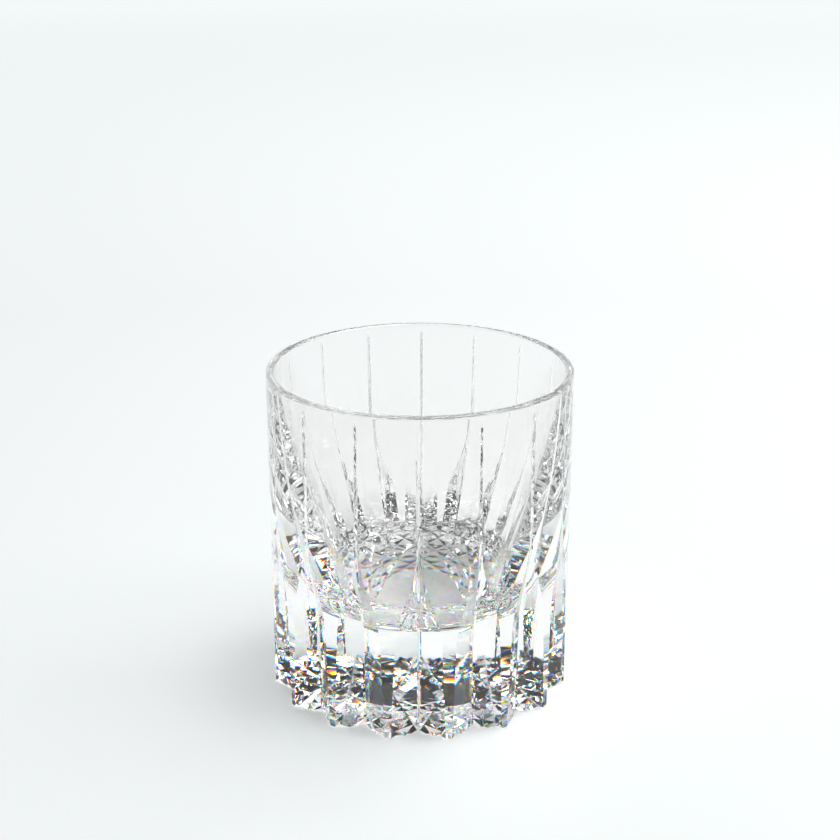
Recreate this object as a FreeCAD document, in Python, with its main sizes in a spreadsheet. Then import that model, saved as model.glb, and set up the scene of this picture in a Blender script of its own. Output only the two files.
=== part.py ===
import FreeCAD, Part
import Sketcher
import math
import os

V = FreeCAD.Vector
doc = FreeCAD.newDocument("whiskey_tumbler")

# One piece of glass: a straight cylinder with a deep round bowl and a thick solid base, sixteen
# vertical mitre cuts round the outside, and a star of crossing mitre cuts all over the underside.
# Heights are above the table, which the uncut parts of the underside rest on. Millimetres, degrees.
SIZES = [
    ("outer_radius", 41.5),
    ("glass_height", 91.0),
    ("foot_bevel", 0.4),
    ("lip_radius", 1.1),
    # the bowl: a level floor, a big round corner, and a gently bowed wall that thins to the lip
    ("bowl_floor_height", 23.8),
    ("bowl_floor_radius", 11.5),
    ("bowl_corner_radius", 19.5),
    ("bowl_wall_radius", 261.0),
    # the vertical cuts: hair-thin at the top, sweeping in to a deep wide V at the base
    ("cut_count", 16),
    ("cut_half_angle", 63.0),
    ("cut_top_height", 88.6),
    ("cut_full_height", 87.0),
    ("cut_thin_depth", 0.3),
    ("cut_sweep_height", 53.0),
    ("cut_sweep_radius", 48.0),
    ("cut_slope_angle", 10.8),
    ("cut_settle_radius", 50.0),
    ("cut_low_angle", 1.5),
    ("cut_base_depth", 4.4),
    # the steep fine cut that runs along the bottom of each vertical cut
    ("fine_half_angle", 40.0),
    ("fine_extra_depth", 0.25),
    # the star cuts on the underside, in line with the vertical cuts
    ("star_half_angle", 70.0),
    ("star_depth", 1.0),
    ("star_outer_depth", 0.6),
    ("star_rim_depth", 0.7),
    ("star_tip_radius", 9.0),
    # how far a cutting tool's outline runs past the glass
    ("tool_margin", 2.0),
]
S = dict(SIZES)
sheet = doc.addObject("Spreadsheet::Sheet", "Sizes")
for row, (alias, value) in enumerate(SIZES, start=1):
    sheet.set(f"A{row}", alias)
    sheet.set(f"B{row}", str(value))
    sheet.setAlias(f"B{row}", alias)
doc.recompute()

body = doc.addObject("PartDesign::Body", "crystal_tumbler")
body.Label = "crystal_tumbler"
body.Placement = FreeCAD.Placement(V(0, 0, 0), FreeCAD.Rotation())


def origin_item(role):
    """The body's own base plane or axis with this role."""
    return next(f for f in body.Origin.OriginFeatures if f.Role == role)


class Outline:
    """A closed sketch outline on one of the body's base planes, with its sizes bound to the sheet."""

    def __init__(self, name, role, points, arcs=None, out=0.0):
        """points go round the loop; arcs maps a segment's number to a point it bends through.

        out moves the sketch off the plane, along the plane's normal.
        """
        self.sk = body.newObject("Sketcher::SketchObject", name)
        self.sk.AttachmentSupport = [(origin_item(role), "")]
        self.sk.MapMode = "FlatFace"
        self.sk.AttachmentOffset = FreeCAD.Placement(V(0, 0, out), FreeCAD.Rotation())
        self.count = len(points)
        self.arcs = arcs or {}
        for i, start in enumerate(points):
            end = points[(i + 1) % self.count]
            if i in self.arcs:
                curve = Part.Arc(V(*start, 0), V(*self.arcs[i], 0), V(*end, 0))
            else:
                curve = Part.LineSegment(V(*start, 0), V(*end, 0))
            self.sk.addGeometry(curve, False)
        self.first = [self.nearest_end(i, p) for i, p in enumerate(points)]
        for i in range(self.count):
            self.join(i)

    def nearest_end(self, i, point):
        gap = [(self.sk.getPoint(i, k) - V(*point, 0)).Length for k in (1, 2)]
        return 1 if gap[0] <= gap[1] else 2

    def join(self, i):
        """Joins segment i to the next one: smoothly where either is an arc, else just end to end."""
        n = (i + 1) % self.count
        smooth = i in self.arcs or n in self.arcs
        kind = "Tangent" if smooth else "Coincident"
        self.sk.addConstraint(Sketcher.Constraint(kind, i, 3 - self.first[i], n, self.first[n]))

    def straight(self, **segments):
        """horizontal=... and vertical=... list the segments that are level and upright."""
        for kind, which in segments.items():
            for i in which:
                self.sk.addConstraint(Sketcher.Constraint(kind.capitalize(), i))

    def at(self, i, x=None, y=None):
        """Pins the first point of segment i: x and y are sheet expressions, or 0 for an axis."""
        for kind, size in (("DistanceX", x), ("DistanceY", y)):
            if size == 0:
                onto = -2 if kind == "DistanceX" else -1
                self.sk.addConstraint(
                    Sketcher.Constraint("PointOnObject", i, self.first[i], onto)
                )
            elif size is not None:
                where = self.sk.getPoint(i, self.first[i])
                now = where.x if kind == "DistanceX" else where.y
                self.size(kind, -1, 1, i, self.first[i], now, by=size)

    def size(self, kind, *where, by):
        """Adds one dimension and binds it to the sheet."""
        index = self.sk.addConstraint(Sketcher.Constraint(kind, *where))
        self.sk.setExpression(f"Constraints[{index}]", by)


# ---------------------------------------------------------------- the turned blank, bowl included
R, H, LIP = S["outer_radius"], S["glass_height"], S["lip_radius"]
FLOOR, CORNER, WALL = S["bowl_floor_height"], S["bowl_corner_radius"], S["bowl_wall_radius"]
lip_centre = V(R - LIP, H - LIP)
corner_centre = V(S["bowl_floor_radius"], FLOOR + CORNER)
gap = corner_centre - lip_centre
along = (gap.Length**2 + (WALL + LIP) ** 2 - (WALL - CORNER) ** 2) / (2 * gap.Length)
unit = V(gap).normalize()
wall_centre = lip_centre + unit * along + V(unit.y, -unit.x) * math.sqrt((WALL + LIP) ** 2 - along**2)


def towards(start, end, length):
    """The point this far from start on the way to end."""
    return start + (end - start).normalize() * length


wall_top = towards(wall_centre, lip_centre, WALL)
wall_foot = towards(wall_centre, corner_centre, WALL)
wall_middle = towards(wall_centre, (wall_top + wall_foot) * 0.5, WALL)
corner_middle = towards(corner_centre, (wall_foot + V(S["bowl_floor_radius"], FLOOR)) * 0.5, CORNER)
blank = Outline(
    "blank_outline",
    "XZ_Plane",
    [
        (0, 0),
        (R - S["foot_bevel"], 0),
        (R, S["foot_bevel"]),
        (R, H - LIP),
        (wall_top.x, wall_top.y),
        (wall_foot.x, wall_foot.y),
        (S["bowl_floor_radius"], FLOOR),
        (0, FLOOR),
    ],
    arcs={
        3: (R - LIP, H),
        4: (wall_middle.x, wall_middle.y),
        5: (corner_middle.x, corner_middle.y),
    },
)
blank.straight(horizontal=[0, 6], vertical=[2, 7])
blank.at(0, x=0, y=0)
blank.at(2, x="Sizes.outer_radius", y="Sizes.foot_bevel")
blank.at(1, x="Sizes.outer_radius - Sizes.foot_bevel")
blank.at(3, y="Sizes.glass_height - Sizes.lip_radius")
blank.size("Radius", 3, LIP, by="Sizes.lip_radius")
blank.size("Radius", 4, WALL, by="Sizes.bowl_wall_radius")
blank.size("Radius", 5, CORNER, by="Sizes.bowl_corner_radius")
blank.at(6, x="Sizes.bowl_floor_radius", y="Sizes.bowl_floor_height")
doc.recompute()


def cut(name, outline, length, direction=None):
    """Takes away the outline's prism: both ways from its plane, or slanting off in a direction."""
    feature = body.newObject("PartDesign::Pocket", name)
    feature.Profile = outline.sk
    feature.setExpression("Length", length)
    if direction is None:
        feature.SideType = "Symmetric"
    else:
        feature.UseCustomVector = True
        feature.AlongSketchNormal = False
        feature.Direction = direction
    feature.Refine = False
    return feature


def all_round(name, features):
    """Repeats the cuts once for every rib of the glass."""
    pattern = body.newObject("PartDesign::PolarPattern", name)
    pattern.Originals = features
    pattern.Axis = (origin_item("Z_Axis"), [""])
    pattern.Angle = 360
    pattern.setExpression("Occurrences", "Sizes.cut_count")
    pattern.Refine = False
    body.Tip = pattern
    return pattern


turned = body.newObject("PartDesign::Revolution", "turned_blank")
turned.Profile = blank.sk
turned.ReferenceAxis = (blank.sk, ["V_Axis"])
turned.Angle = 360

# ---------------------------------------------------------------- the vertical cuts
# The outline lies in the plane through the glass's axis. Its inner side is the bottom of the V:
# a short run-in under the lip, a hair-thin upper run, a sweep inwards, and a deep lower run.
M = S["tool_margin"]
a, b = math.radians(S["cut_slope_angle"]), math.radians(S["cut_low_angle"])
R1, R2 = S["cut_sweep_radius"], S["cut_settle_radius"]


def vertical_cut(name, half_angle, extra=0.0, by=""):
    """One V cut down the side, this much deeper than the plain one; by is the extra's expression."""
    thin_x, low_x = R - S["cut_thin_depth"] - extra, R - S["cut_base_depth"] - extra
    sweep_end = (thin_x - R1 * (1 - math.cos(a)), S["cut_sweep_height"] - R1 * math.sin(a))
    turn_in = (R2 * (math.cos(a) - math.cos(b)), -R2 * (math.sin(a) - math.sin(b)))
    drop = sweep_end[1] + turn_in[1] + M
    slant = (sweep_end[0] + turn_in[0] - drop * math.tan(b) - low_x) / (
        math.sin(a) - math.tan(b) * math.cos(a)
    )
    settle_start = (sweep_end[0] - slant * math.sin(a), sweep_end[1] - slant * math.cos(a))
    settle_end = (settle_start[0] + turn_in[0], settle_start[1] + turn_in[1])
    mid = (a + b) / 2
    groove = Outline(
        f"{name}_outline",
        "XZ_Plane",
        [
            (low_x, -M),
            (R + M, -M),
            (R + M, S["cut_top_height"]),
            (R, S["cut_top_height"]),
            (thin_x, S["cut_full_height"]),
            (thin_x, S["cut_sweep_height"]),
            sweep_end,
            settle_start,
            settle_end,
        ],
        arcs={
            5: (thin_x - R1 * (1 - math.cos(a / 2)), S["cut_sweep_height"] - R1 * math.sin(a / 2)),
            7: (
                settle_start[0] + R2 * (math.cos(a) - math.cos(mid)),
                settle_start[1] - R2 * (math.sin(a) - math.sin(mid)),
            ),
        },
    )
    groove.straight(horizontal=[0, 2], vertical=[1, 4])
    groove.at(0, x=f"Sizes.outer_radius - Sizes.cut_base_depth{by}", y="-Sizes.tool_margin")
    groove.at(1, x="Sizes.outer_radius + Sizes.tool_margin")
    groove.at(3, x="Sizes.outer_radius", y="Sizes.cut_top_height")
    groove.at(4, x=f"Sizes.outer_radius - Sizes.cut_thin_depth{by}", y="Sizes.cut_full_height")
    groove.at(5, y="Sizes.cut_sweep_height")
    groove.size("Radius", 5, R1, by="Sizes.cut_sweep_radius")
    groove.size("Radius", 7, R2, by="Sizes.cut_settle_radius")
    groove.size("Angle", 5, a, by="Sizes.cut_slope_angle * 1 deg")
    groove.size("Angle", 7, a - b, by="(Sizes.cut_slope_angle - Sizes.cut_low_angle) * 1 deg")
    phi = math.radians(half_angle)
    length = f"3 * (Sizes.tool_margin + Sizes.cut_base_depth){by.replace('-', '+')}"
    return [
        cut(f"{name}_{side}_flank", groove, length, V(math.cos(phi), sign * math.sin(phi), 0))
        for side, sign in (("left", -1), ("right", 1))
    ]


wide = vertical_cut("wide_cut", S["cut_half_angle"])
fine = vertical_cut(
    "fine_cut", S["fine_half_angle"], S["fine_extra_depth"], by=" - Sizes.fine_extra_depth"
)
all_round("vertical_cuts", wide + fine)

# ---------------------------------------------------------------- the star cuts on the underside
# Straight V cuts along chords at three distances from the middle. Each distance is the next one
# out times the cosine of 45 degrees, so the cuts of one kind cross where the next kind is nearest
# the middle. A cut along the radius runs through all the crossings, from a pointed tip near the
# middle to the rim. The middle stays flat, and the glass rests on it and on the uncut slivers.
star = math.radians(S["star_half_angle"])


def chord_cut(name, order, depth):
    """A V cut along a chord, this many 45 degree steps in from the rim; depth is a sheet name."""
    distance, deep = R * math.cos(math.pi / 4) ** order, S[depth]
    half = (deep + M) * math.tan(star)
    v = Outline(
        f"{name}_outline",
        "XZ_Plane",
        [(distance - half, -M), (distance + half, -M), (distance, deep)],
    )
    middle = f"Sizes.outer_radius * cos(45 deg) ^ {order}"
    spread = f"(Sizes.{depth} + Sizes.tool_margin) * tan(Sizes.star_half_angle * 1 deg)"
    v.at(0, x=f"{middle} - {spread}", y="-Sizes.tool_margin")
    v.at(1, x=f"{middle} + {spread}", y="-Sizes.tool_margin")
    v.at(2, x=middle, y=f"Sizes.{depth}")
    return cut(name, v, "2.2 * Sizes.outer_radius")


chords = [
    chord_cut("outer_chord_cut", 1, "star_outer_depth"),
    chord_cut("middle_chord_cut", 2, "star_depth"),
    chord_cut("inner_chord_cut", 3, "star_depth"),
]

rise = S["star_rim_depth"] / (R - S["star_tip_radius"])
deep = rise * (R + M - S["star_tip_radius"])
side = (deep + M) * math.tan(star)
spoke = Outline("radial_cut_outline", "YZ_Plane", [(-side, -M), (side, -M), (0, deep)], out=R + M)
DEEP = (
    "Sizes.star_rim_depth * (Sizes.outer_radius + Sizes.tool_margin - Sizes.star_tip_radius)"
    " / (Sizes.outer_radius - Sizes.star_tip_radius)"
)
SIDE = f"({DEEP} + Sizes.tool_margin) * tan(Sizes.star_half_angle * 1 deg)"
spoke.at(0, x=f"-({SIDE})", y="-Sizes.tool_margin")
spoke.at(1, x=SIDE, y="-Sizes.tool_margin")
spoke.at(2, x=0, y=DEEP)
LONG = "Sizes.outer_radius - Sizes.star_tip_radius + 2 * Sizes.tool_margin"
radial = cut("radial_cut", spoke, LONG, V(-1, 0, -rise))
all_round("star_cuts", [*chords, radial])

# ---------------------------------------------------------------- check and write
doc.recompute()
for thing in doc.Objects:
    if "Invalid" in thing.State or "Error" in thing.State:
        raise RuntimeError(f"{thing.Name} did not compute: {thing.State}")
glass = body.Shape
if glass.isNull() or not glass.isValid() or len(glass.Solids) != 1:
    raise RuntimeError("the glass is not one sound solid")
os.makedirs("parts", exist_ok=True)
glass.exportStep("parts/crystal_tumbler.step")
print(f"crystal_tumbler: {glass.Volume / 1000:.1f} cm3, {len(glass.Faces)} faces")
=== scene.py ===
import math

import bmesh
import bpy
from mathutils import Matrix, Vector


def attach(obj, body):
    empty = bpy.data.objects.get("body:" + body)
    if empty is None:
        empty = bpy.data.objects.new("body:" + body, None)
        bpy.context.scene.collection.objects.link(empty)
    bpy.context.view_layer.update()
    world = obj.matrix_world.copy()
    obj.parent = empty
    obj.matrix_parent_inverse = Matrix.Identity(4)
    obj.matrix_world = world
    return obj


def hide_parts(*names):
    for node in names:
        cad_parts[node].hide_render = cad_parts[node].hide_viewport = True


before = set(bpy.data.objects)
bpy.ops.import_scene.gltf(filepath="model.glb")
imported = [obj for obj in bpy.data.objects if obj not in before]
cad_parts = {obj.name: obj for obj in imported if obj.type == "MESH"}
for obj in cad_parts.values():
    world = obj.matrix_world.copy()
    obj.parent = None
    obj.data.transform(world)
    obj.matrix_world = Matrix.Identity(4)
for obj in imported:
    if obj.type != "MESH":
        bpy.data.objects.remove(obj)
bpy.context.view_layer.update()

# ---------------------------------------------------------------- the glass's sizes, in mm, as in part.py
OUTER_R = 41.5
HEIGHT = 91.0
LIP_R = 1.1
FOOT_BEVEL = 0.4
BOWL_WALL_R = 261.0  # the wall's long arc, seen in section
BOWL_CORNER_R = 19.5
BOWL_FLOOR_R = 11.5
BOWL_FLOOR_Z = 23.8

CUT_COUNT = 16
CUT_STEP = math.radians(360.0 / CUT_COUNT)
CUT_HALF = math.radians(63)  # half the angle of a vertical cut's V
CUT_TOP_Z = 88.6
CUT_FULL_Z = 87.0  # from here down a cut is as deep as the thin stretch
THIN_DEPTH = 0.3
BASE_DEPTH = 4.4
SWEEP_Z = 53.0  # where a cut starts to sweep inwards
SWEEP_R = 48.0
SLOPE = math.radians(10.8)
SETTLE_R = 50.0
LOW_SLOPE = math.radians(1.5)
FINE_HALF = math.radians(40)  # half the angle of the fine cut along the bottom of each vertical cut
FINE_DEPTH = 0.25  # how much deeper the fine cut goes

STAR_HALF = math.radians(70)
STAR_DEPTHS = (0.6, 1.0, 1.0)  # of the chord cuts, from the outermost ring in
STAR_TIP_R = 9.0  # where the radial cuts start
STAR_RIM_DEPTH = 0.7
TOOL_MARGIN = 2.0  # how far a cutting tool stands out of the glass

# ---------------------------------------------------------------- how finely the mesh is divided
RIB_COLUMNS = 16  # faces across the space between two vertical cuts
BOWL_COLUMNS = CUT_COUNT * 16
LIP_STEPS = 24
BOWL_STEPS = 60
SLAB_Z = 3.0  # the star cuts all lie below this height
SPLIT_Z = 53.0  # the glass below this height splits light into its colours
NEAR = 2e-3  # how close to the turned side a corner has to be to count as on it
LEVEL = 1e-4  # the same for the slab's top
FLANKS = ((-1, False), (-1, True), (1, True), (1, False))  # (side, fine) of the faces across a cut

# the bottom of a vertical cut in a plane through the axis, as (distance from the axis, height) points:
# thin, an arc inwards, a straight slope, and an arc back to nearly upright
THIN_X = OUTER_R - THIN_DEPTH
ARC_END = (THIN_X - SWEEP_R * (1 - math.cos(SLOPE)), SWEEP_Z - SWEEP_R * math.sin(SLOPE))
SETTLE = (
    SETTLE_R * (math.cos(SLOPE) - math.cos(LOW_SLOPE)),
    -SETTLE_R * (math.sin(SLOPE) - math.sin(LOW_SLOPE)),
)
# the slope is as long as it takes to reach the full depth at the tool's lower end
LOW_RUN = ARC_END[1] + SETTLE[1] + TOOL_MARGIN
SLOPE_LENGTH = (ARC_END[0] + SETTLE[0] - LOW_RUN * math.tan(LOW_SLOPE) - (OUTER_R - BASE_DEPTH)) / (
    math.sin(SLOPE) - math.tan(LOW_SLOPE) * math.cos(SLOPE)
)
SLOPE_END = (ARC_END[0] - SLOPE_LENGTH * math.sin(SLOPE), ARC_END[1] - SLOPE_LENGTH * math.cos(SLOPE))
SETTLE_END = (SLOPE_END[0] + SETTLE[0], SLOPE_END[1] + SETTLE[1])


def valley(z):
    """(distance from the axis of the bottom of a vertical cut, its slope) at a height."""
    if z >= CUT_TOP_Z:
        return OUTER_R, 0.0
    if z > CUT_FULL_Z:
        rise = THIN_DEPTH / (CUT_TOP_Z - CUT_FULL_Z)
        return OUTER_R - rise * (CUT_TOP_Z - z), rise
    if z >= SWEEP_Z:
        return THIN_X, 0.0
    if z > ARC_END[1]:
        s = math.asin((SWEEP_Z - z) / SWEEP_R)
        return THIN_X - SWEEP_R * (1 - math.cos(s)), math.tan(s)
    if z >= SLOPE_END[1]:
        return ARC_END[0] - (ARC_END[1] - z) * math.tan(SLOPE), math.tan(SLOPE)
    if z > SETTLE_END[1]:
        s = math.asin(math.sin(SLOPE) - (SLOPE_END[1] - z) / SETTLE_R)
        return SLOPE_END[0] + SETTLE_R * (math.cos(SLOPE) - math.cos(s)), math.tan(s)
    return SETTLE_END[0] - (SETTLE_END[1] - z) * math.tan(LOW_SLOPE), math.tan(LOW_SLOPE)


def fine_valley(z):
    """The same for the steep fine cut that runs along the bottom of each vertical cut."""
    if z >= CUT_TOP_Z:
        return OUTER_R, 0.0
    if z > CUT_FULL_Z:
        rise = (THIN_DEPTH + FINE_DEPTH) / (CUT_TOP_Z - CUT_FULL_Z)
        return OUTER_R - rise * (CUT_TOP_Z - z), rise
    bottom, slope = valley(z)
    return bottom - FINE_DEPTH, slope


def outside(z):
    """The uncut radius at a height: the side, with the small bevel at the foot."""
    return OUTER_R - max(FOOT_BEVEL - z, 0.0)


def cut_edge(z):
    """Half the angle round the axis that a vertical cut spans at a height."""
    across = min(valley(z)[0] * math.sin(CUT_HALF) / outside(z), 1)
    return max(math.acos(across) - math.pi / 2 + CUT_HALF, 0)


# ---------------------------------------------------------------- building the glass face by face
class Skin:
    """Faces with a normal for every corner, so that curved faces shade as true curves."""

    def __init__(self):
        self.points, self.index, self.faces, self.normals = [], {}, [], []

    def point(self, place):
        """The number of the point at a place, which is new only if none is there yet."""
        key = tuple(round(c, 4) for c in place)
        if key not in self.index:
            self.index[key] = len(self.points)
            self.points.append(place)
        return self.index[key]

    def face(self, corners, normals):
        """Add a face, without the corners that fall on one another."""
        ids, kept = [], []
        for place, normal in zip(corners, normals):
            i = self.point(place)
            if i not in ids:
                ids.append(i)
                kept.append(normal)
        if len(ids) > 2:
            self.faces.append(ids)
            self.normals.extend(kept)


def at(radius, angle, z):
    return (radius * math.cos(angle), radius * math.sin(angle), z)


def spun(normal, angle):
    """A (radial, sideways, up) direction turned to stand at an angle round the axis."""
    radial, sideways, up = normal
    c, s = math.cos(angle), math.sin(angle)
    return Vector((radial * c - sideways * s, radial * s + sideways * c, up)).normalized()


def flank_normal(z, side, middle, fine):
    """The normal of one flank of a vertical cut, or of its fine cut."""
    half, slope = (FINE_HALF, fine_valley(z)[1]) if fine else (CUT_HALF, valley(z)[1])
    return spun((1.0, -side / math.tan(half), -slope), middle)


def ring(z, middle):
    """(corner, angle) points at a height, across one cut and the rib after it."""
    edge, wide, fine = cut_edge(z), valley(z)[0], fine_valley(z)[0]
    # where the fine cut's flank meets the wide one's
    knee_y = (wide - fine) / (1 / math.tan(FINE_HALF) - 1 / math.tan(CUT_HALF))
    knee_x = wide + knee_y / math.tan(CUT_HALF)
    knee_r, knee_turn = math.hypot(knee_x, knee_y), math.atan2(knee_y, knee_x)
    out = []
    for radius, turn in ((outside(z), -edge), (knee_r, -knee_turn), (fine, 0.0), (knee_r, knee_turn)):
        out.append((at(radius, middle + turn, z), middle + turn))
    rib = CUT_STEP - 2 * edge
    for i in range(RIB_COLUMNS + 1):
        angle = middle + edge + rib * i / RIB_COLUMNS
        out.append((at(outside(z), angle, z), angle))
    return out


def heights(*runs):
    """Heights low to high from (from, to, spacing) runs."""
    out = []
    for lo, hi, spacing in runs:
        n = max(1, round((hi - lo) / spacing))
        out += [lo + (hi - lo) * i / n for i in range(n)]
    return out + [runs[-1][1]]


def side_wall(skin, rows):
    """The outside between the lowest and the highest row: cuts and the ribs between them."""
    for k in range(CUT_COUNT):
        middle = CUT_STEP * k
        for lo, hi in zip(rows, rows[1:]):
            a, b = ring(lo, middle), ring(hi, middle)
            for i in range(len(a) - 1):
                around = (a[i], a[i + 1], b[i + 1], b[i])
                if i < len(FLANKS):
                    side, fine = FLANKS[i]
                    normals = [flank_normal(z, side, middle, fine) for z in (lo, lo, hi, hi)]
                else:
                    up = -1.0 if hi <= FOOT_BEVEL else 0.0
                    normals = [spun((1, 0, up), angle) for _, angle in around]
                skin.face([corner for corner, _ in around], normals)


def bowl_profile():
    """(radius, height, normal) down from the outer edge of the lip into the bowl's middle."""
    lip = Vector((OUTER_R - LIP_R, HEIGHT - LIP_R))
    corner = Vector((BOWL_FLOOR_R, BOWL_FLOOR_Z + BOWL_CORNER_R))
    # the centre of the wall's long arc, which touches the lip's and the corner's
    gap = corner - lip
    to_lip, to_corner = BOWL_WALL_R + LIP_R, BOWL_WALL_R - BOWL_CORNER_R
    reach = (gap.length**2 + to_lip**2 - to_corner**2) / (2 * gap.length)
    aside = math.sqrt(to_lip**2 - reach**2)
    along = gap.normalized()
    wall = lip + along * reach + Vector((along.y, -along.x)) * aside
    tilt = [math.atan2(-(p - wall).y, (p - wall).x) for p in (lip, corner)]
    rows = []
    for i in range(LIP_STEPS + 1):
        s = (math.pi - tilt[0]) * i / LIP_STEPS
        normal = Vector((math.cos(s), math.sin(s)))
        rows.append((lip + normal * LIP_R, normal))
    for centre, radius, start, end in (
        (wall, BOWL_WALL_R, tilt[0], tilt[1]),
        (corner, BOWL_CORNER_R, tilt[1], math.pi / 2),
    ):
        for i in range(1, BOWL_STEPS + 1):
            s = start + (end - start) * i / BOWL_STEPS
            outwards = Vector((math.cos(s), -math.sin(s)))
            rows.append((centre + outwards * radius, -outwards))
    rows.append((Vector((0.0, BOWL_FLOOR_Z)), Vector((0.0, 1.0))))
    return [(p.x, p.y, (n.x, n.y)) for p, n in rows]


def bowl(skin):
    """The lip and the inside, spun from their section."""
    profile = bowl_profile()
    for (r0, z0, n0), (r1, z1, n1) in zip(profile, profile[1:]):
        upper, lower = (n0[0], 0, n0[1]), (n1[0], 0, n1[1])
        for j in range(BOWL_COLUMNS):
            a, b = 2 * math.pi * j / BOWL_COLUMNS, 2 * math.pi * (j + 1) / BOWL_COLUMNS
            skin.face(
                [at(r0, a, z0), at(r0, b, z0), at(r1, b, z1), at(r1, a, z1)],
                [spun(upper, a), spun(upper, b), spun(lower, b), spun(lower, a)],
            )


def as_mesh(name, points, faces):
    me = bpy.data.meshes.new(name)
    me.from_pydata([tuple(p) for p in points], [], faces)
    me.validate()
    ob = bpy.data.objects.new(name, me)
    bpy.context.scene.collection.objects.link(ob)
    return ob


def prism(points_a, points_b):
    """A closed three-sided prism between two triangles."""
    faces = [(2, 1, 0), (3, 4, 5), (0, 1, 4, 3), (1, 2, 5, 4), (2, 0, 3, 5)]
    ob = as_mesh("tool", points_a + points_b, faces)
    bm = bmesh.new()
    bm.from_mesh(ob.data)
    bmesh.ops.recalc_face_normals(bm, faces=bm.faces)
    bm.to_mesh(ob.data)
    bm.free()
    return ob


def chord_tool(out, along, order, depth):
    """The V for one chord of the underside, whose distance from the axis shrinks with its order."""
    middle = out * (OUTER_R * math.cos(math.pi / 4) ** order)
    half_width = (depth + TOOL_MARGIN) * math.tan(STAR_HALF)
    half_length = 1.1 * OUTER_R
    ends = []
    for side in (-1, 1):
        base = along * (side * half_length) + middle
        low = base - Vector((0, 0, TOOL_MARGIN))
        ends.append([low - out * half_width, low + out * half_width, base + Vector((0, 0, depth))])
    return prism(*ends)


def radial_tool(out, along):
    """The V for one radial cut of the underside, which deepens from its tip to the rim."""
    rise = STAR_RIM_DEPTH / (OUTER_R - STAR_TIP_R)
    far, near = OUTER_R + TOOL_MARGIN, STAR_TIP_R - TOOL_MARGIN
    tall = rise * (far - STAR_TIP_R) + TOOL_MARGIN
    half_width = along * tall * math.tan(STAR_HALF)
    ends = []
    for radius in (far, near):
        top = out * radius + Vector((0, 0, rise * (radius - STAR_TIP_R)))
        low = top - Vector((0, 0, tall))
        ends.append([low - half_width, low + half_width, top])
    return prism(*ends)


def star_tools():
    """The V-shaped tools for the underside: chords at three distances, and radial cuts."""
    tools = []
    for k in range(CUT_COUNT):
        turn = CUT_STEP * k
        out, along = Vector(at(1, turn, 0)), Vector(at(1, turn + math.pi / 2, 0))
        for order, depth in enumerate(STAR_DEPTHS, start=1):
            tools.append(chord_tool(out, along, order, depth))
        tools.append(radial_tool(out, along))
    return tools


def foot_slab():
    """The lowest few mm of the glass with the star cuts taken out, as (corners, flat normal) faces."""
    skin = Skin()
    side_wall(skin, [0.0, FOOT_BEVEL, SLAB_Z])
    rims = []
    for z in (0.0, SLAB_Z):
        ids = [skin.point(p) for k in range(CUT_COUNT) for p, _ in ring(z, CUT_STEP * k)]
        rims.append(list(dict.fromkeys(ids)))
    slab = as_mesh("foot_slab", skin.points, skin.faces + [rims[0][::-1], rims[1]])
    tools = star_tools()
    for tool in tools:
        mod = slab.modifiers.new("cut", "BOOLEAN")
        mod.operation, mod.solver, mod.object = "DIFFERENCE", "MANIFOLD", tool
    bpy.context.view_layer.update()
    done = slab.evaluated_get(bpy.context.evaluated_depsgraph_get()).to_mesh()
    faces = []
    for f in done.polygons:
        faces.append(([Vector(done.vertices[v].co) for v in f.vertices], Vector(f.normal)))
    for ob in [slab] + tools:
        bpy.data.objects.remove(ob)
    return faces


def add_foot(skin):
    """The foot slab's faces but its top: the turned ones shade as curves, the cut ones flat."""
    for corners, normal in foot_slab():
        if all(p.z > SLAB_Z - LEVEL for p in corners):
            continue
        on_side = all(abs(math.hypot(p.x, p.y) - OUTER_R) < NEAR for p in corners)
        on_bevel = all(abs(math.hypot(p.x, p.y) - outside(p.z)) < NEAR for p in corners)
        if on_side or on_bevel:
            up = 0.0 if on_side else -1.0
            normals = [spun((1, 0, up), math.atan2(p.y, p.x)) for p in corners]
        else:
            normals = [normal] * len(corners)
        skin.face([tuple(p) for p in corners], normals)


def build_glass():
    skin = Skin()
    add_foot(skin)
    # rows stand closest where the cuts curve or run out
    rows = heights(
        (SLAB_Z, SETTLE_END[1], 1.0),
        (SETTLE_END[1], SWEEP_Z, 0.4),
        (SWEEP_Z, CUT_FULL_Z, 4.0),
        (CUT_FULL_Z, CUT_TOP_Z, 0.2),
        (CUT_TOP_Z, HEIGHT - LIP_R, 1.3),
    )
    side_wall(skin, rows)
    bowl(skin)
    me = bpy.data.meshes.new("cut_crystal_glass")
    me.from_pydata([(x / 1000, y / 1000, z / 1000) for x, y, z in skin.points], [], skin.faces)
    for f in me.polygons:
        f.use_smooth = True
    me.normals_split_custom_set([tuple(n) for n in skin.normals])
    ob = bpy.data.objects.new("cut_crystal_glass", me)
    bpy.context.scene.collection.objects.link(ob)
    return ob


glass = build_glass()
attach(glass, "root")
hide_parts("crystal_tumbler")

# ---------------------------------------------------------------- materials
CRYSTAL_IOR = 1.545
CRYSTAL_TINT = (0.968, 0.962, 0.958, 1)
CRYSTAL_SPREAD = 0.024  # difference in index from the first colour band to the last
BANDS = [  # from red to blue, which add up to white
    (0.45, 0.0, 0.0),
    (0.40, 0.12, 0.0),
    (0.15, 0.30, 0.0),
    (0.0, 0.40, 0.05),
    (0.0, 0.18, 0.35),
    (0.0, 0.0, 0.60),
]


def nodes_of(name):
    mat = bpy.data.materials.new(name)
    mat.use_nodes = True
    tree = mat.node_tree
    tree.nodes.clear()
    return mat, tree, tree.nodes.new("ShaderNodeOutputMaterial")


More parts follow.
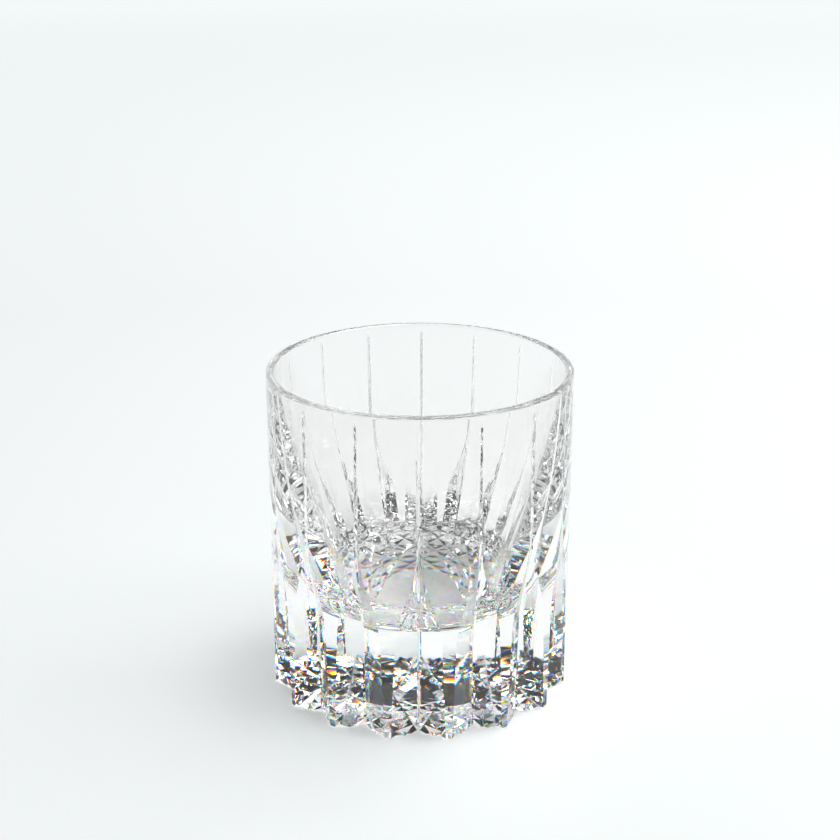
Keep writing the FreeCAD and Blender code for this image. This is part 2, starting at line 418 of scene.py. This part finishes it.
def coloured_glass(tree):
    """Glass in colour bands, each with its own index, added together."""
    total = None
    for i, colour in enumerate(BANDS):
        band = tree.nodes.new("ShaderNodeBsdfGlass")
        band.distribution = "BECKMANN"
        band.inputs["Color"].default_value = (*colour, 1)
        band.inputs["Roughness"].default_value = 0.0
        band.inputs["IOR"].default_value = CRYSTAL_IOR + CRYSTAL_SPREAD * (i / (len(BANDS) - 1) - 0.5)
        if total is None:
            total = band.outputs[0]
            continue
        add = tree.nodes.new("ShaderNodeAddShader")
        tree.links.new(total, add.inputs[0])
        tree.links.new(band.outputs[0], add.inputs[1])
        total = add.outputs[0]
    return total


def crystal(name, splits):
    """Clear lead crystal; where it splits light, the first surface a sight line meets does so."""
    mat, tree, out = nodes_of(name)
    clear = tree.nodes.new("ShaderNodeBsdfPrincipled")
    clear.inputs["Base Color"].default_value = CRYSTAL_TINT
    clear.inputs["Roughness"].default_value = 0.0
    clear.inputs["IOR"].default_value = CRYSTAL_IOR
    clear.inputs["Transmission Weight"].default_value = 1.0
    surface = clear.outputs[0]
    if splits:
        path = tree.nodes.new("ShaderNodeLightPath")
        mix = tree.nodes.new("ShaderNodeMixShader")
        tree.links.new(path.outputs["Is Camera Ray"], mix.inputs[0])
        tree.links.new(clear.outputs[0], mix.inputs[1])
        tree.links.new(coloured_glass(tree), mix.inputs[2])
        surface = mix.outputs[0]
    tree.links.new(surface, out.inputs["Surface"])
    return mat


glass.data.materials.append(crystal("crystal_base", True))
glass.data.materials.append(crystal("crystal_wall", False))
for f in glass.data.polygons:
    f.material_index = 0 if f.center.z < SPLIT_Z / 1000 else 1


class Wiring:
    """Short ways to add maths to a node tree."""

    def __init__(self, tree):
        self.tree = tree

    def maths(self, op, a, b):
        node = self.tree.nodes.new("ShaderNodeMath")
        node.operation = op
        for i, value in enumerate((a, b)):
            if isinstance(value, float):
                node.inputs[i].default_value = value
            else:
                self.tree.links.new(value, node.inputs[i])
        return node.outputs[0]

    def ramp(self, source, lo, hi, a, b, blend="SMOOTHSTEP"):
        """A value that goes from a to b as the source goes from lo to hi."""
        node = self.tree.nodes.new("ShaderNodeMapRange")
        node.interpolation_type = blend
        for key, value in (("From Min", lo), ("From Max", hi), ("To Min", a), ("To Max", b)):
            node.inputs[key].default_value = value
        self.tree.links.new(source, node.inputs["Value"])
        return node.outputs[0]


# ---------------------------------------------------------------- floor
FLOOR_HALF = 3.0  # m
FLOOR_Z = -2e-5  # m, just under the foot, so that the two don't share a plane


def floor_material():
    """Pale acrylic with a painted glow, light it gives off though it is no lamp: none under the glass, as a
    painted shadow, least near the glass, and more far off.
    """
    mat, tree, out = nodes_of("pale_acrylic_painted_glow")
    acrylic = tree.nodes.new("ShaderNodeBsdfPrincipled")
    acrylic.inputs["Base Color"].default_value = (0.86, 0.885, 0.885, 1)
    acrylic.inputs["Roughness"].default_value = 0.9
    acrylic.inputs["Specular IOR Level"].default_value = 0.1
    # the colour of the floor's painted glow, light given off though the floor is no lamp
    acrylic.inputs["Emission Color"].default_value = (0.95, 1.0, 1.0, 1)
    place = tree.nodes.new("ShaderNodeTexCoord")
    length = tree.nodes.new("ShaderNodeVectorMath")
    length.operation = "LENGTH"
    tree.links.new(place.outputs["Object"], length.inputs[0])
    away = length.outputs["Value"]
    wiring = Wiring(tree)
    # painted shadow under the glass: no glow within 30 mm of the middle, full glow from 46 mm out
    glow_and_painted_shadow_under_glass = wiring.ramp(away, 0.03, 0.046, 0.0, 0.4)
    # painted light: more glow far off, rising from 0.4 m to 1.75 m from the middle
    painted_far_glow = wiring.ramp(away, 0.4, 1.75, 0.0, 0.38, "LINEAR")
    tree.links.new(wiring.maths("ADD", glow_and_painted_shadow_under_glass, painted_far_glow), acrylic.inputs["Emission Strength"])
    tree.links.new(acrylic.outputs[0], out.inputs["Surface"])
    return mat


floor_corners = [(x * FLOOR_HALF, y * FLOOR_HALF, FLOOR_Z) for x, y in ((-1, -1), (1, -1), (1, 1), (-1, 1))]
floor = as_mesh("floor", floor_corners, [(0, 1, 2, 3)])
floor.data.materials.append(floor_material())


# ---------------------------------------------------------------- light
def softbox(name, place, aim, size, watts):
    lamp = bpy.data.lights.new(name, "AREA")
    lamp.shape = "RECTANGLE"
    lamp.size, lamp.size_y = size
    lamp.energy = watts
    ob = bpy.data.objects.new(name, lamp)
    ob.location = place
    ob.rotation_euler = (Vector(aim) - Vector(place)).to_track_quat("-Z", "Y").to_euler()
    bpy.context.scene.collection.objects.link(ob)


softbox("key", place=(0.58, 0.12, 1.15), aim=(0, 0.1, 0.0), size=(1.1, 1.1), watts=12.4)
softbox("top", place=(-0.35, 0.9, 1.1), aim=(0, 0, 0.05), size=(0.5, 0.3), watts=1)


def studio_world():
    """A dim room with a bright low backdrop on one side, towards +Y."""
    world = bpy.data.worlds.new("studio")
    world.use_nodes = True
    tree = world.node_tree
    background = tree.nodes["Background"]
    background.inputs["Color"].default_value = (1, 1, 1, 1)
    coord = tree.nodes.new("ShaderNodeTexCoord")
    split = tree.nodes.new("ShaderNodeSeparateXYZ")
    tree.links.new(coord.outputs["Generated"], split.inputs[0])
    wiring = Wiring(tree)
    backdrop = wiring.ramp(split.outputs["Y"], 0.25, 0.55, 0.0, 0.8)
    low_down = wiring.ramp(split.outputs["Z"], 0.35, 0.5, 1.0, 0.0)
    glow = wiring.maths("MULTIPLY", backdrop, low_down)
    tree.links.new(wiring.maths("ADD", glow, 0.02), background.inputs["Strength"])
    return world


bpy.context.scene.world = studio_world()

# ---------------------------------------------------------------- camera
CAM_BACK = 10.59 * OUTER_R / 1000
CAM_UP = 5.63 * OUTER_R / 1000
CAM_LENS = 73.4657  # mm, on a 36 mm sensor
CAM_SPIN = math.radians(0.62)  # how far the camera stands off the line through the front cut
CAM_PITCH = math.radians(19.80)

cam = bpy.data.cameras.new("camera")
cam.sensor_width = 36.0
cam.lens = CAM_LENS
cam.clip_start, cam.clip_end = 0.01, 50
cam_ob = bpy.data.objects.new("camera", cam)
cam_ob.location = (CAM_BACK * math.sin(CAM_SPIN), -CAM_BACK * math.cos(CAM_SPIN), CAM_UP)
ahead = math.cos(CAM_PITCH)
look = Vector((-math.sin(CAM_SPIN) * ahead, math.cos(CAM_SPIN) * ahead, -math.sin(CAM_PITCH)))
cam_ob.rotation_euler = look.to_track_quat("-Z", "Y").to_euler()
bpy.context.scene.collection.objects.link(cam_ob)
bpy.context.scene.camera = cam_ob

# ---------------------------------------------------------------- how far light is followed
BOUNCES = 40  # enough for light that is mirrored to and fro in the cut base

scene = bpy.context.scene
scene.view_settings.view_transform = "Standard"
scene.cycles.max_bounces = BOUNCES
scene.cycles.transmission_bounces = BOUNCES
scene.cycles.glossy_bounces = BOUNCES
scene.cycles.transparent_max_bounces = 16
scene.cycles.diffuse_bounces = 4
scene.cycles.blur_glossy = 0.0
scene.cycles.sample_clamp_indirect = 10.0
scene.cycles.use_denoising = True

bpy.context.view_layer.update()
